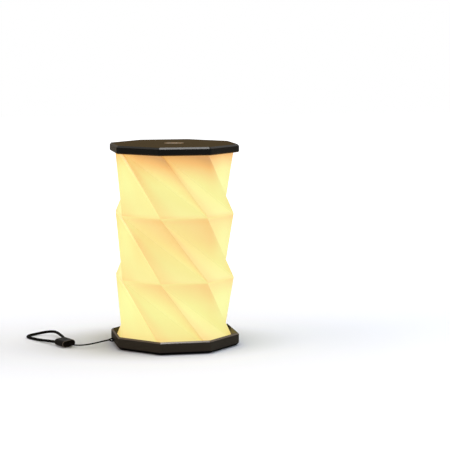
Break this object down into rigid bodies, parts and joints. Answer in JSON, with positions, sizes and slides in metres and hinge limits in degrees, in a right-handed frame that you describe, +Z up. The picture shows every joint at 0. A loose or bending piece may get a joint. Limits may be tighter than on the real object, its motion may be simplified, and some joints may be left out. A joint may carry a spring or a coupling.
{
  "type": "folding lamp",
  "caption": "Collapsible octagonal lantern: a pleated translucent shade twists flat between a black base tray and a lid with a push button, with a carrying strap.",
  "frame": {"origin": "centre of the octagonal base, on the surface that the lamp stands on", "axes": "+Z up along the shade, two flats of the octagon square to X, the strap on the -X wall, the charging socket in the +Y wall"},
  "size_m": [0.1903, 0.1219, 0.1871],
  "materials": {
    "black_abs": "black moulded ABS, fine satin grain",
    "gloss_black": "polished black acrylic",
    "symbol_white": "pale grey moulded inlay",
    "shade_silicone": "translucent white silicone, lit warm from inside",
    "opal_sheet": "opal polycarbonate diffuser",
    "white_abs": "white moulded ABS",
    "grey_rubber": "dark silicone rubber",
    "plain_steel": "zinc-plated steel",
    "black_steel": "black-plated steel wire",
    "green_board": "green solder mask",
    "warm_led": "warm white light-emitting diodes",
    "chip_black": "moulded epoxy",
    "foil_cell": "aluminium pouch foil",
    "lead_red": "insulated wire",
    "bright_shell": "nickel-plated steel",
    "braided_cord": "black braided polyester cord",
    "moulded_rubber": "black soft-touch rubber"
  },
  "bodies": {
    "base": {"base_tray": "black_abs", "foot_pad": "grey_rubber", "ballast_plate": "plain_steel", "base_deck": "white_abs", "base_screws": "plain_steel", "shade_foot_ring": "shade_silicone", "strap_eyelet": "black_steel", "strap_tie": "braided_cord", "strap_cord": "braided_cord", "strap_sleeve": "moulded_rubber", "strap_loop": "braided_cord"},
    "lower_tier": {"shade_lower_tier": "shade_silicone"},
    "lower_band": {"lower_fold_band": "shade_silicone"},
    "middle_tier": {"shade_middle_tier": "shade_silicone"},
    "upper_band": {"upper_fold_band": "shade_silicone"},
    "upper_tier": {"shade_upper_tier": "shade_silicone"},
    "lid": {"lid_cover": "black_abs", "lid_diffuser_plate": "opal_sheet", "lid_screws": "plain_steel", "shade_head_ring": "shade_silicone", "circuit_board": "green_board", "led_ring": "warm_led", "board_components": "chip_black", "tact_switch": "chip_black", "usb_socket": "bright_shell", "battery_cells": "foil_cell", "battery_leads": "lead_red"},
    "button": {"button_cap": "gloss_black", "power_symbol": "symbol_white", "switch_plunger": "plain_steel"}
  },
  "joints": [
    {"name": "turn_lower", "type": "hinge", "parent": "base", "child": "lower_tier", "pos_m": [0, 0, 0], "axis": [0, 0, -1], "range_deg": [0, 45]},
    {"name": "fold_lower", "type": "slide", "parent": "lower_tier", "child": "lower_band", "axis": [0, 0, -1], "range_m": [0, 0.0557], "deforming": ["shade_lower_tier"]},
    {"name": "turn_middle", "type": "hinge", "parent": "lower_band", "child": "middle_tier", "pos_m": [0, 0, 0], "axis": [0, 0, -1], "range_deg": [0, 45]},
    {"name": "fold_middle", "type": "slide", "parent": "middle_tier", "child": "upper_band", "axis": [0, 0, -1], "range_m": [0, 0.0557], "deforming": ["shade_middle_tier"]},
    {"name": "turn_upper", "type": "hinge", "parent": "upper_band", "child": "upper_tier", "pos_m": [0, 0, 0], "axis": [0, 0, -1], "range_deg": [0, 45]},
    {"name": "fold_upper", "type": "slide", "parent": "upper_tier", "child": "lid", "axis": [0, 0, -1], "range_m": [0, 0.0557], "deforming": ["shade_upper_tier"]},
    {"name": "button_press", "type": "slide", "parent": "lid", "child": "button", "axis": [0, 0, -1], "range_m": [0, 0.0003], "stiffness_N_per_m": 4000, "springref_m": -0.0001}
  ],
  "couplings": [
    {"joint": "turn_lower", "follows": "fold_lower", "rad_per_m": 14.101},
    {"joint": "turn_middle", "follows": "fold_lower", "rad_per_m": 14.101},
    {"joint": "fold_middle", "follows": "fold_lower", "ratio": 1},
    {"joint": "turn_upper", "follows": "fold_lower", "rad_per_m": 14.101},
    {"joint": "fold_upper", "follows": "fold_lower", "ratio": 1}
  ]
}
